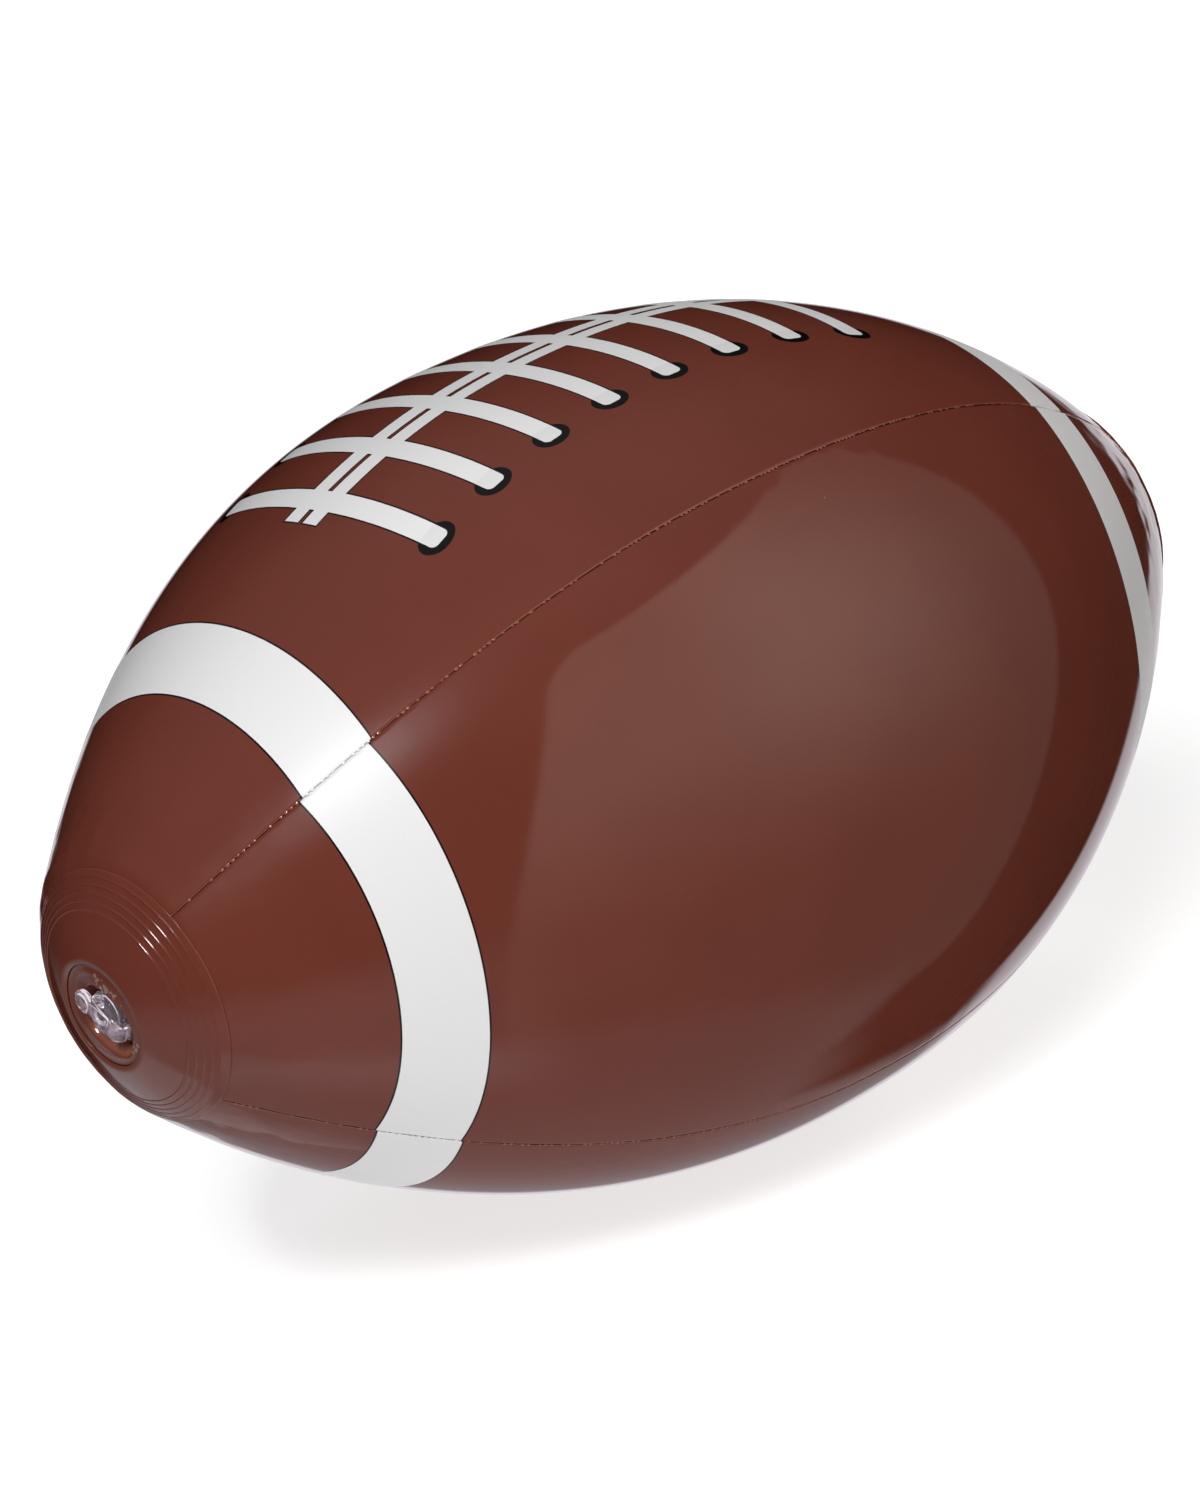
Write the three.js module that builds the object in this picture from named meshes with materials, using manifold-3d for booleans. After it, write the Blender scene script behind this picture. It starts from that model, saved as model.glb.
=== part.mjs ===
import * as THREE from 'three';
import { mergeVertices } from 'three/addons/utils/BufferGeometryUtils.js';
import Module from 'manifold-3d';

// An inflated beach ball in the shape of an American football, blown up and at rest on a floor.
// Four welded film panels, a round disc over their tips at each end, and a push-in valve in one disc.
// Millimetres. +Z is up, along the lace line; the long axis is X, with the valve at -X.

// Blown-up shape
const BELLY_RADIUS = 100; // mean radius half way along
const TIP_REACH = 180.6; // from the middle to where the meridian would meet the axis
const MERIDIAN_POWER = 2.2; // higher is fuller at the shoulders and sharper at the tips
const SEAM_RISE = 2.15; // seams stand out, and panel middles lie in, by this much at the belly
const REST_DEPTH = 1; // how far the floor flattens the lowest panel

// Film and its welds
const FILM = 0.3;
const GAP = 0.3; // between pieces that lie on each other
const LAP = 5; // width that one panel overlaps the next
const JOGGLE = 1.6; // run over which a tucked edge steps down under its neighbour

// End discs
const DISC_RADIUS = 32.6;
const DOME_RISE = 10.2; // of the disc's middle over its rim
const WELD_BAND = 10.6; // run of the panel tips under the disc
const RING_COUNT = 5; // pressed weld rings
const RING_PITCH = 2.1;
const RING_INSET = 1.2; // outermost ring to the disc's rim
const RING_WIDTH = 1.1;
const RING_HEIGHT = 0.3;

// Valve neck and the well that it is pushed into
const BORE_RADIUS = 3.4;
const NECK_WALL = 1.2;
const NECK_LENGTH = 17;
const COLLAR_LIP = 0.8; // collar's overhang beyond the neck
const COLLAR_HEIGHT = 1.8;
const SHOULDER_LIP = 1.4; // ring under the skirt
const SHOULDER_HEIGHT = 0.8;
const WELL_DEPTH = 4.5;
const WELL_ROOM = 3.2; // round the pull tab, for a fingernail
const SKIRT = 0.6; // thickness of the flexible flange
const SKIRT_LAND = 2; // its run under the disc

// Plug on its strap
const PLUG_CLEARANCE = 0.25;
const PLUG_LENGTH = 4.5;
const HEAD_RADIUS = 4.9;
const HEAD_HEIGHT = 1.7;
const HEAD_ROUND = 0.5;
const STRAP = 0.8; // thickness
const STRAP_WIDTH = 4.2;
const STRAP_LAND = 1.6; // run over the head
const LUG_MARGIN = 0.8; // round the strap's root
const LUG_HEIGHT = 1;
const TAB_REACH = 5.5; // plug axis to the middle of the tab's round end
const TAB_RADIUS = 2.8;
const TAB_WIDTH = 3.6;
const TAB_HEIGHT = 1;
const TAB_SINK = 0.3; // depth that the tab is moulded into the head
const TAB_START = 3; // how far the tab runs back past the plug axis
const TAB_RING_RADIUS = 1.8;
const TAB_RING = 0.4; // radius of the ring's round section
const VALVE_TURN = THREE.MathUtils.degToRad(34); // pull tab above the level, seen from the valve end
const VALVE_DROP = 3.2; // from the ball's axis down to the valve's

// Check flap
const FLAP = 0.6; // thickness
const FLAP_RADIUS = 4.3;
const FLAP_HINGE_REACH = 5.6;
const FLAP_EAR_WIDTH = 2.4;
const FLAP_LUG_HEIGHT = 1.2;

// Facets
const LENGTH_STEPS = 24;
const TIP_STEPS = 3;
const PANEL_COLUMNS = 10;
const DISC_SIDES = 36;
const VALVE_SIDES = 24;
const HINGE_SIDES = 12;
const TAB_RING_SIDES = 8;
const DOME_STEPS = 6;
const WELL_STEPS = 7;
const FLANK_STEPS = 5;
const BEND_STEPS = 6;
const SAME_POINT = 1e-4; // corners closer than this are one

const PANEL_COUNT = 4;
const SEAM_ANGLE = Math.PI / PANEL_COUNT; // from a panel's middle to its seams

// Worked out from the sizes above
const rimX = TIP_REACH * (1 - DISC_RADIUS / BELLY_RADIUS) ** (1 / MERIDIAN_POWER);
const axisHeight = BELLY_RADIUS - SEAM_RISE - REST_DEPTH;
const domeRadius = (DISC_RADIUS ** 2 + DOME_RISE ** 2) / (2 * DOME_RISE);
const discBase = rimX + GAP + FILM;
const neckRadius = BORE_RADIUS + NECK_WALL;
const collarRadius = neckRadius + COLLAR_LIP;
const strapLoop = HEAD_HEIGHT + GAP;
const hingeReach = HEAD_RADIUS + GAP + strapLoop;
const wellFloorRadius = hingeReach + LUG_MARGIN;
const wellRadius = TAB_REACH + TAB_RADIUS + WELL_ROOM;
const wellFloor = discBase + domeRise(wellRadius) - WELL_DEPTH;
const collarTop = wellFloor + GAP + COLLAR_HEIGHT;
const neckEnd = collarTop - NECK_LENGTH;
const plugSeat = collarTop + GAP;
const hingeHeight = plugSeat + STRAP / 2;

const wasm = await Module();
wasm.setup();

// Height of an end dome over its rim, at a distance from the ball's axis.
function domeRise(radius) {
  return Math.sqrt(domeRadius ** 2 - radius ** 2) - (domeRadius - DOME_RISE);
}

// Merged corners only, with the faces turned outwards.
function closed(geometry) {
  geometry.deleteAttribute('normal');
  geometry.deleteAttribute('uv');
  const merged = mergeVertices(geometry, SAME_POINT);
  const place = merged.attributes.position;
  const index = merged.index.array;
  const [a, b, c] = [new THREE.Vector3(), new THREE.Vector3(), new THREE.Vector3()];
  const kept = [];
  let volume = 0;
  for (let i = 0; i < index.length; i += 3) {
    const [p, q, r] = index.slice(i, i + 3);
    if (p === q || q === r || r === p) continue;
    kept.push(p, q, r);
    a.fromBufferAttribute(place, p);
    b.fromBufferAttribute(place, q);
    c.fromBufferAttribute(place, r);
    volume += a.dot(b.cross(c));
  }
  if (volume < 0) kept.reverse();
  merged.setIndex(kept);
  return merged;
}

function toManifold(geometry) {
  const solid = closed(geometry);
  const vertProperties = new Float32Array(solid.attributes.position.array);
  const triVerts = new Uint32Array(solid.index.array);
  return new wasm.Manifold(new wasm.Mesh({ numProp: 3, vertProperties, triVerts }));
}

function fromManifold(solid) {
  const { vertProperties, triVerts } = solid.getMesh();
  const geometry = new THREE.BufferGeometry();
  geometry.setAttribute('position', new THREE.BufferAttribute(vertProperties, 3));
  geometry.setIndex(Array.from(triVerts));
  return geometry;
}

// One solid from several that run into each other.
function joined(first, ...others) {
  let solid = toManifold(first);
  for (const other of others) solid = solid.add(toManifold(other));
  return fromManifold(solid);
}

function piece(name, geometry, material) {
  const mesh = new THREE.Mesh(geometry, material);
  mesh.name = name;
  return mesh;
}

function vinyl(color) {
  return new THREE.MeshStandardMaterial({ color, roughness: 0.25, metalness: 0 });
}

function clearVinyl() {
  const colour = { color: 0xd9d2e0, roughness: 0.15, metalness: 0 };
  return new THREE.MeshStandardMaterial({ ...colour, transparent: true, opacity: 0.5 });
}

// Unit normals of a run of points, to the left of the way that it runs.
function normals(points) {
  return points.map((_, i) => {
    const from = points[Math.max(i - 1, 0)];
    const to = points[Math.min(i + 1, points.length - 1)];
    return new THREE.Vector2(from.y - to.y, to.x - from.x).normalize();
  });
}

// A run of points, moved to its left by a distance.
function offset(points, distance) {
  const left = normals(points);
  return points.map((p, i) => p.clone().addScaledVector(left[i], distance));
}

// A ring of sheet turned about the axis. Its outside is a run of points away from the axis.
function turnedSheet(outside, thickness) {
  const inside = offset(outside, -thickness).reverse();
  const section = [...outside, ...inside, outside[0].clone()];
  return closed(new THREE.LatheGeometry(section, VALVE_SIDES));
}

// The panels' meridian, from tip to tip: the blown-up curve, then the run under each disc.
function skinMeridian() {
  const curve = [];
  for (let i = 0; i <= LENGTH_STEPS; i += 1) {
    const x = rimX * ((2 * i) / LENGTH_STEPS - 1);
    const radius = BELLY_RADIUS * (1 - (Math.abs(x) / TIP_REACH) ** MERIDIAN_POWER);
    curve.push(new THREE.Vector2(x, radius));
  }
  const tip = [];
  for (let i = 1; i <= TIP_STEPS; i += 1) {
    const radius = DISC_RADIUS - (WELD_BAND * i) / TIP_STEPS;
    tip.push(new THREE.Vector2(rimX + domeRise(radius), radius));
  }
  const otherTip = tip.map((p) => new THREE.Vector2(-p.x, p.y)).reverse();
  return [...otherTip, ...curve, ...tip];
}

// A column of a panel runs from tip to tip. Its angle from the panel's middle depends on the radius
// there, so that laps keep their width, and it may be sunk below the ball's surface.
function fieldColumns(inset) {
  const columns = [];
  for (let i = 0; i <= PANEL_COLUMNS; i += 1) {
    const share = (2 * i) / PANEL_COLUMNS - 1;
    columns.push({ angle: (radius) => share * (SEAM_ANGLE - inset / radius), sunk: 0 });
  }
  return columns;
}

function seamColumn(side, past, sunk) {
  return { angle: (radius) => side * (SEAM_ANGLE + past / radius), sunk };
}

// A panel whose edges lie on top of its neighbours' edges.
function lappingColumns() {
  const edge = LAP / 2;
  return [seamColumn(-1, edge, 0), ...fieldColumns(edge), seamColumn(1, edge, 0)];
}

// A panel whose edges step down and run under its neighbours' edges.
function tuckedColumns() {
  const sunk = FILM + GAP;
  const foot = LAP / 2 + GAP;
  const edge = LAP / 2;
  const near = [seamColumn(-1, edge, sunk), seamColumn(-1, -foot, sunk)];
  const far = [seamColumn(1, -foot, sunk), seamColumn(1, edge, sunk)];
  return [...near, ...fieldColumns(foot + JOGGLE), ...far];
}

// A flat sheet bent onto the ball, with its middle up. The lowest panel is flattened by the floor.
function panel(columns, flattened) {
  const meridian = skinMeridian();
  const outwards = normals(meridian);
  const across = columns.length - 1;
  const along = meridian.length - 1;
  const sheet = new THREE.BoxGeometry(1, 1, 1, across, along, 1);
  const place = sheet.attributes.position;
  for (let i = 0; i < place.count; i += 1) {
    const column = columns[Math.round((place.getX(i) + 0.5) * across)];
    const row = Math.round((place.getY(i) + 0.5) * along);
    const depth = place.getZ(i) > 0 ? 0 : FILM;
    const angle = column.angle(meridian[row].y);
    const spot = meridian[row].clone().addScaledVector(outwards[row], -column.sunk - depth);
    const swell = Math.max(0, 1 - (meridian[row].x / rimX) ** 2) ** 2;
    const radius = spot.y - SEAM_RISE * swell * Math.cos(PANEL_COUNT * angle);
    const height = radius * Math.cos(angle);
    const limit = flattened ? axisHeight - depth : height;
    place.setXYZ(i, spot.x, radius * Math.sin(angle), Math.min(height, limit));
  }
  return closed(sheet);
}

// The outside of an end disc between two radii, with its weld rings, in (radius, height) points.
function discOutside(innerRadius) {
  const points = [];
  const add = (radius, lift) => points.push(new THREE.Vector2(radius, discBase + domeRise(radius) + lift));
  const ringsStart = DISC_RADIUS - RING_INSET - RING_PITCH * (RING_COUNT - 1) - RING_WIDTH / 2;
  for (let i = 0; i < DOME_STEPS; i += 1) {
    add(innerRadius + ((ringsStart - innerRadius) * i) / DOME_STEPS, 0);
  }
  for (let i = RING_COUNT - 1; i >= 0; i -= 1) {
    const middle = DISC_RADIUS - RING_INSET - RING_PITCH * i;
    add(middle - RING_WIDTH / 2, 0);
    add(middle, RING_HEIGHT);
    add(middle + RING_WIDTH / 2, 0);
  }
  add(DISC_RADIUS, 0);
  return points;
}

// The underside keeps its distance from the panel tips, so only the outside carries the rings.
function endDisc(innerRadius) {
  const outside = discOutside(innerRadius);
  const inside = [];
  for (let i = 0; i <= DOME_STEPS; i += 1) {
    const radius = DISC_RADIUS - ((DISC_RADIUS - innerRadius) * i) / DOME_STEPS;
    inside.push(new THREE.Vector2(radius, discBase - FILM + domeRise(radius)));
  }
  const section = [...outside, ...inside];
  if (innerRadius > 0) section.push(outside[0].clone());
  return closed(new THREE.LatheGeometry(section, DISC_SIDES));
}

// The valve end disc has a round hole for the well, below its middle.
function valveDisc() {
  const hole = new THREE.CylinderGeometry(wellRadius, wellRadius, 2 * DOME_RISE, DISC_SIDES);
  hole.translate(0, discBase + DOME_RISE, -VALVE_DROP);
  return fromManifold(toManifold(endDisc(0)).subtract(toManifold(hole)));
}

// Lifts a film piece that was turned about the valve's axis to the dome round the well.
function ontoDome(geometry) {
  const place = geometry.attributes.position;
  for (let i = 0; i < place.count; i += 1) {
    const radius = Math.hypot(place.getX(i), place.getZ(i));
    const reach = Math.hypot(place.getX(i), place.getZ(i) - VALVE_DROP);
    const share = THREE.MathUtils.smoothstep(radius, wellFloorRadius, wellRadius);
    place.setY(i, place.getY(i) + share * (domeRise(reach) - domeRise(radius)));
  }
  return geometry.translate(0, 0, -VALVE_DROP);
}

// The film's outside across the well, from one radius to another: floor, rolled wall, then dome.
function wellOutside(from, to) {
  const points = [new THREE.Vector2(from, wellFloor)];
  const wall = wellRadius - wellFloorRadius;
  const lip = wellFloor + WELL_DEPTH;
  for (let i = 0; i <= WELL_STEPS; i += 1) {
    const share = i / WELL_STEPS;
    const rise = THREE.MathUtils.lerp(wellFloor, lip, THREE.MathUtils.smoothstep(share, 0, 1));
    points.push(new THREE.Vector2(wellFloorRadius + wall * share, rise));
  }
  if (to > wellRadius) points.push(new THREE.Vector2(to, discBase + domeRise(to)));
  return points;
}

function wellFilm() {
  const outside = wellOutside(neckRadius + GAP, wellRadius);
  outside.at(-1).x -= GAP;
  return ontoDome(turnedSheet(outside, FILM));
}

function skirt() {
  const film = wellOutside(neckRadius + GAP, wellRadius + SKIRT_LAND);
  return ontoDome(turnedSheet(offset(film, -FILM - GAP), SKIRT));
}

// A block between two distances from the valve axis, on one side of it.
function lug(from, to, low, high, width) {
  const block = new THREE.BoxGeometry(Math.abs(to - from), high - low, width);
  return block.translate((from + to) / 2, (low + high) / 2, 0);
}

function neck() {
  const shoulderTop = wellFloor - FILM - GAP - SKIRT - GAP;
  const outline = [
    [BORE_RADIUS, neckEnd],
    [neckRadius, neckEnd],
    [neckRadius, shoulderTop - SHOULDER_HEIGHT],
    [neckRadius + SHOULDER_LIP, shoulderTop],
    [neckRadius, shoulderTop],
    [neckRadius, wellFloor + GAP],
    [collarRadius, wellFloor + GAP],
    [collarRadius, collarTop],
    [BORE_RADIUS, collarTop],
    [BORE_RADIUS, neckEnd],
  ];
  const tube = new THREE.LatheGeometry(outline.map((p) => new THREE.Vector2(...p)), VALVE_SIDES);
  const root = BORE_RADIUS + NECK_WALL / 2;
  const strapLug = lug(-root, -wellFloorRadius, collarTop - LUG_HEIGHT, collarTop, STRAP_WIDTH);
  const flapReach = FLAP_HINGE_REACH + FLAP;
  const flapLug = lug(-root, -flapReach, neckEnd, neckEnd + FLAP_LUG_HEIGHT, FLAP_EAR_WIDTH);
  return joined(tube, strapLug, flapLug);
}

// The stopper's flank is the arc that it swings out on, so it leaves the bore without rubbing.
function plugBody() {
  const top = plugSeat + HEAD_HEIGHT;
  const radius = BORE_RADIUS - PLUG_CLEARANCE;
  const swing = Math.hypot(hingeReach + radius, hingeHeight - plugSeat);
  const outline = [[0, plugSeat - PLUG_LENGTH]];
  for (let i = FLANK_STEPS; i >= 0; i -= 1) {
    const depth = (PLUG_LENGTH * i) / FLANK_STEPS;
    const reach = Math.sqrt(swing ** 2 - (hingeHeight - plugSeat + depth) ** 2);
    outline.push([reach - hingeReach, plugSeat - depth]);
  }
  outline.push([HEAD_RADIUS, plugSeat], [HEAD_RADIUS, top - HEAD_ROUND]);
  outline.push([HEAD_RADIUS - HEAD_ROUND, top], [0, top]);
  return new THREE.LatheGeometry(outline.map((p) => new THREE.Vector2(...p)), VALVE_SIDES);
}

// A pull tab: a straight stem that widens into a round end.
function tabPlate(base) {
  const half = TAB_WIDTH / 2;
  const turn = Math.asin(half / TAB_RADIUS);
  const outline = new THREE.Shape();
  outline.moveTo(-TAB_START, -half);
  outline.lineTo(TAB_REACH - TAB_RADIUS * Math.cos(turn), -half);
  outline.absarc(TAB_REACH, 0, TAB_RADIUS, Math.PI + turn, 3 * Math.PI - turn);
  outline.lineTo(-TAB_START, half);
  outline.closePath();
  const solid = { depth: TAB_SINK + TAB_HEIGHT, bevelEnabled: false, curveSegments: VALVE_SIDES / 2 };
  return new THREE.ExtrudeGeometry(outline, solid).rotateX(-Math.PI / 2).translate(0, base - TAB_SINK, 0);
}

function plug() {
  const headTop = plugSeat + HEAD_HEIGHT;
  const ring = new THREE.TorusGeometry(TAB_RING_RADIUS, TAB_RING, TAB_RING_SIDES, VALVE_SIDES);
  ring.rotateX(Math.PI / 2).translate(TAB_REACH, headTop + TAB_HEIGHT, 0);
  return joined(plugBody(), tabPlate(headTop), ring);
}

// A strap that rises from its round root on the collar's lug and bends over onto the plug's head.
function strap() {
  const half = STRAP / 2;
  const bend = strapLoop - hingeReach;
  const end = bend + STRAP_LAND;
  const outline = new THREE.Shape();
  outline.moveTo(-hingeReach - half, hingeHeight);
  outline.absarc(bend, hingeHeight, strapLoop + half, Math.PI, Math.PI / 2, true);
  outline.lineTo(end, hingeHeight + strapLoop + half);
  outline.lineTo(end, hingeHeight + strapLoop - half);
  outline.absarc(bend, hingeHeight, strapLoop - half, Math.PI / 2, Math.PI, false);
  outline.absarc(-hingeReach, hingeHeight, half, 0, -Math.PI, true);
  const solid = { depth: STRAP_WIDTH, bevelEnabled: false, curveSegments: BEND_STEPS };
  return closed(new THREE.ExtrudeGeometry(outline, solid).translate(0, 0, -STRAP_WIDTH / 2));
}

// A thin disc with an ear that ends in the round of its hinge.
function checkFlap() {
  const top = neckEnd - GAP;
  const disc = new THREE.CylinderGeometry(FLAP_RADIUS, FLAP_RADIUS, FLAP, VALVE_SIDES);
  disc.translate(0, top - FLAP / 2, 0);
  const earStart = FLAP_RADIUS - FLAP_EAR_WIDTH / 2;
  const ear = lug(-earStart, -FLAP_HINGE_REACH, top - FLAP, top, FLAP_EAR_WIDTH);
  const round = new THREE.CylinderGeometry(FLAP / 2, FLAP / 2, FLAP_EAR_WIDTH, HINGE_SIDES);
  round.rotateX(Math.PI / 2).translate(-FLAP_HINGE_REACH, top - FLAP / 2, 0);
  return joined(disc, ear, round);
}

const BROWN = 0x6f3529;

const ball = new THREE.Group();
ball.position.z = axisHeight;

const panels = [
  ['lace_panel', lappingColumns(), false],
  ['front_panel', tuckedColumns(), false],
  ['base_panel', lappingColumns(), true],
  ['back_panel', tuckedColumns(), false],
];
panels.forEach(([name, columns, flattened], i) => {
  const mesh = piece(name, panel(columns, flattened), vinyl(BROWN));
  mesh.rotation.x = 2 * SEAM_ANGLE * i;
  ball.add(mesh);
});

// In each end group, +Y runs out of the ball along its axis.
const valveEnd = new THREE.Group();
valveEnd.rotation.z = Math.PI / 2;
valveEnd.add(piece('valve_end_disc', valveDisc(), vinyl(BROWN)));
valveEnd.add(piece('valve_well', wellFilm(), vinyl(BROWN)));
valveEnd.add(piece('valve_skirt', skirt(), clearVinyl()));

const farEnd = new THREE.Group();
farEnd.rotation.z = -Math.PI / 2;
farEnd.add(piece('far_end_disc', endDisc(0), vinyl(BROWN)));

// The pull tab lies along the valve group's +X.
const valve = new THREE.Group();
valve.rotation.y = -VALVE_TURN;
valve.position.z = -VALVE_DROP;
valve.add(piece('valve_neck', neck(), clearVinyl()));
valve.add(piece('plug', plug(), clearVinyl()));
valve.add(piece('plug_strap', strap(), clearVinyl()));
valve.add(piece('check_flap', checkFlap(), clearVinyl()));
valveEnd.add(valve);

ball.add(valveEnd, farEnd);

const part = new THREE.Group();
part.add(ball);
export default part;
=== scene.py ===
# %% [markdown]
# # An inflated football for the beach
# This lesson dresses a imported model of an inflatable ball: thin film panels that are welded into a
# football shape, printed stripes and laces, and a soft clear valve in one end.
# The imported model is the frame. It says where every piece is, in metres, and which pieces move, so each
# piece made here is put straight onto it and told which body of the frame it rides on.

# %% Load the frame
import math
from functools import partialmethod

import bpy
from mathutils import Euler, Matrix, Vector


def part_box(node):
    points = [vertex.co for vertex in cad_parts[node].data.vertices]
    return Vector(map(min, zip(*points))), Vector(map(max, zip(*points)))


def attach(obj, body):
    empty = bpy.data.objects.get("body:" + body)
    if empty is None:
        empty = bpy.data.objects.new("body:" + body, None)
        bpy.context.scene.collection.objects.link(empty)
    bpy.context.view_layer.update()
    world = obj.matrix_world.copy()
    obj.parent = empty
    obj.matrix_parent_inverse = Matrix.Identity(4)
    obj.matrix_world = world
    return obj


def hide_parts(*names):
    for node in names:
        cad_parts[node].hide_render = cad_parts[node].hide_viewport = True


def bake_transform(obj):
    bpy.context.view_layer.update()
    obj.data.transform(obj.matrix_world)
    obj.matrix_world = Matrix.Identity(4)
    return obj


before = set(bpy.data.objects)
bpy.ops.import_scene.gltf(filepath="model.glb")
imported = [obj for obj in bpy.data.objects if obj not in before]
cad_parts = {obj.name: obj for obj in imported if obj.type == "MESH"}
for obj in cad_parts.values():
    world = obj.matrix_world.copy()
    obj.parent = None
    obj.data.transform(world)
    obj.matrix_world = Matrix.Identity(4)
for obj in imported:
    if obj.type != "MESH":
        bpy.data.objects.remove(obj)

scene = bpy.context.scene
scene.view_settings.view_transform = "Standard"
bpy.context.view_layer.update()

# %% [markdown]
# ## Sizes
# A blown-up panel follows a rule: its radius falls off along the ball by a power of the distance from the
# middle. The lengths that made the frame's solids are named here, in metres.

# %% Lengths of the ball
BELLY_RADIUS = 0.1
TIP_REACH = 0.1806
MERIDIAN_POWER = 2.2
SEAM_RISE = 0.00215
FILM = 0.0003
GAP = 0.0003
LAP = 0.005
JOGGLE = 0.0004
UPPER_LAP = -0.0006
LOWER_LAP = -0.0012
VALVE_LAP = 0.0034
DISC_RADIUS = 0.0326
DOME_RISE = 0.0102
WELD_BAND = 0.0106
WELL_RADIUS = 0.0115
WELL_DEPTH = 0.0045
VALVE_DROP = 0.0032
TAB_TURN = math.radians(34)

axis_height = (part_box("far_end_disc")[0].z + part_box("far_end_disc")[1].z) / 2
rim_reach = TIP_REACH * (1 - DISC_RADIUS / BELLY_RADIUS) ** (1 / MERIDIAN_POWER)
dome_radius = (DISC_RADIUS**2 + DOME_RISE**2) / (2 * DOME_RISE)
disc_base = rim_reach + GAP + FILM
middle = Vector((0, 0, axis_height))
valve_middle = Vector((0, 0, axis_height - VALVE_DROP))


def dome_rise(radius):
    return math.sqrt(dome_radius**2 - radius**2) - (dome_radius - DOME_RISE)


well_floor = disc_base + dome_rise(WELL_RADIUS) - WELL_DEPTH

# %% [markdown]
# ## The camera
# The photograph looks down on the ball from its valve end, through a long lens, with the camera rolled
# a little. Azimuth, elevation and roll turn the camera, and then it backs away from the ball's middle.

# %% Camera
AZIMUTH = math.radians(-36.74)
ELEVATION = math.radians(18.23)
ROLL = math.radians(-13.31)
DISTANCE = 1.384
AIM_RIGHT = -0.0065
AIM_UP = -0.0026
LENS = 139.85


def add_object(name, data):
    """Puts a new object into the scene."""
    obj = bpy.data.objects.new(name, data)
    scene.collection.objects.link(obj)
    return obj


turn = Euler((math.pi / 2 - ELEVATION, 0, AZIMUTH)).to_matrix() @ Matrix.Rotation(ROLL, 3, "Z")
camera_data = bpy.data.cameras.new("photo_camera")
camera_data.lens = LENS
camera = add_object("photo_camera", camera_data)
away = turn @ Vector((AIM_RIGHT, AIM_UP, DISTANCE))
camera.matrix_world = Matrix.Translation(middle + away) @ turn.to_4x4()
scene.camera = camera
print("camera at", [round(x, 3) for x in camera.matrix_world.translation])

# %% [markdown]
# ## Sums in node trees
# The film's shape and its print are both rules, and Blender can work rules out in node trees: Geometry
# Nodes for shapes, shader nodes for colour. A long rule is hard to read as a chain of Math nodes, so this
# helper lets it be written as a sum. Each plus or times adds one Math node to the tree.

# %% A number in a node tree
class Formula:
    def __init__(self, tree, socket):
        self.tree = tree
        self.socket = socket

    def by(self, operation, *others):
        made = node(self.tree, "ShaderNodeMath", {"operation": operation})
        for socket, value in zip(made.inputs, (self, *others)):
            feed(self.tree, socket, value)
        return Formula(self.tree, made.outputs[0])

    __add__ = __radd__ = partialmethod(by, "ADD")
    __mul__ = __rmul__ = partialmethod(by, "MULTIPLY")
    __sub__ = partialmethod(by, "SUBTRACT")
    __rsub__ = partialmethod(by, "MULTIPLY_ADD", -1.0)
    __truediv__ = partialmethod(by, "DIVIDE")
    __pow__ = partialmethod(by, "POWER")
    __neg__ = partialmethod(by, "MULTIPLY", -1.0)
    __abs__ = partialmethod(by, "ABSOLUTE")
    least = partialmethod(by, "MINIMUM")
    most = partialmethod(by, "MAXIMUM")
    root = partialmethod(by, "SQRT")

    def hypot(self, other):
        return (self * self + other * other).root()

    def smooth(self, low, high):
        """0 below low, 1 above high, and an easy rise between them."""
        made = node(self.tree, "ShaderNodeMapRange", {"interpolation_type": "SMOOTHSTEP"}, Value=self)
        give(self.tree, made, From__Min=low, From__Max=high)
        return Formula(self.tree, made.outputs["Result"])


def feed(tree, socket, value):
    """Links a formula or a socket into a socket, or sets a plain value there."""
    if isinstance(value, Formula):
        tree.links.new(value.socket, socket)
    elif isinstance(value, bpy.types.NodeSocket):
        tree.links.new(value, socket)
    else:
        socket.default_value = value


def give(tree, made, **inputs):
    """Feeds a node's inputs by name; a double underscore in a name stands for a space."""
    for name, value in inputs.items():
        feed(tree, made.inputs[name.replace("__", " ")], value)


def node(tree, kind, settings=None, **inputs):
    """A node with its settings and inputs."""
    made = tree.nodes.new(kind)
    for name, value in (settings or {}).items():
        setattr(made, name, value)
    give(tree, made, **inputs)
    return made


def split(tree, vector):
    """The X, Y and Z of a vector, as formulas."""
    return [Formula(tree, part) for part in node(tree, "ShaderNodeSeparateXYZ", Vector=vector).outputs]


def here(tree):
    """The X, Y and Z of a mesh's points."""
    return split(tree, node(tree, "GeometryNodeInputPosition").outputs[0])


def spot(tree, x, y, z):
    """A vector from three formulas."""
    return node(tree, "ShaderNodeCombineXYZ", X=x, Y=y, Z=z).outputs[0]


def noise(tree, place, scale, detail=2.0):
    """Smooth noise about zero, from about -0.5 to 0.5."""
    made = node(tree, "ShaderNodeTexNoise", Vector=place, Scale=scale, Detail=detail)
    return Formula(tree, made.outputs[0]) - 0.5


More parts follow.
